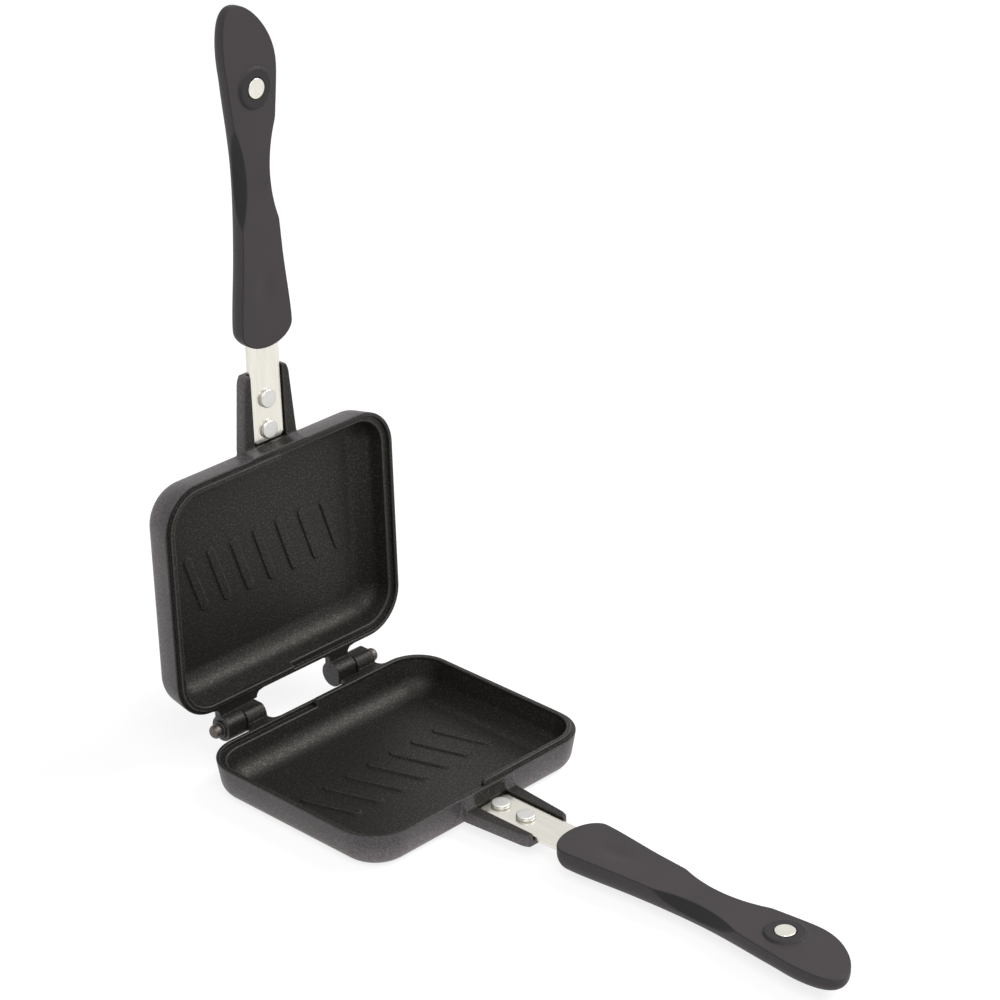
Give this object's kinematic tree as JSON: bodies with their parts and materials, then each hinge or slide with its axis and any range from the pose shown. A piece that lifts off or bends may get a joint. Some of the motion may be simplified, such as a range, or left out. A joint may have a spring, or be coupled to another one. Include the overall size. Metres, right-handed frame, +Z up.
{
  "type": "pie iron",
  "caption": "Hinged toasting iron with deep rectangular cast pans, riveted steel tangs, moulded grips and handle magnets, standing open.",
  "frame": {"origin": "under the middle of the lower pan, on the surface that the iron stands on", "axes": "+Z up, +X along the hinge line, -Y towards the lower handle and +Y towards the hinge"},
  "size_m": [0.14, 0.354, 0.3483],
  "materials": {
    "coated_casting": "black non-stick coating, fine speckle inside, smooth grey-black outside",
    "pin_steel": "dull, slightly browned",
    "tang_steel": "brushed along its length",
    "rivet_aluminium": "satin",
    "grip_plastic": "matte, heat resistant",
    "magnet_nickel": "plain nickel plate"
  },
  "bodies": {
    "lower_half": {"lower_pan": "coated_casting", "hinge_pin_left": "pin_steel", "lower_tang": "tang_steel", "lower_inner_rivet": "rivet_aluminium", "lower_outer_rivet": "rivet_aluminium", "lower_grip": "grip_plastic", "lower_magnet": "magnet_nickel"},
    "upper_half": {"upper_pan": "coated_casting", "hinge_pin_right": "pin_steel", "upper_tang": "tang_steel", "upper_inner_rivet": "rivet_aluminium", "upper_outer_rivet": "rivet_aluminium", "upper_grip": "grip_plastic", "upper_magnet": "magnet_nickel"}
  },
  "joints": [
    {"name": "pan_hinge", "type": "hinge", "parent": "lower_half", "child": "upper_half", "pos_m": [0, 0.0672, 0.018], "axis": [1, 0, 0], "range_deg": [0, 91.6]}
  ]
}
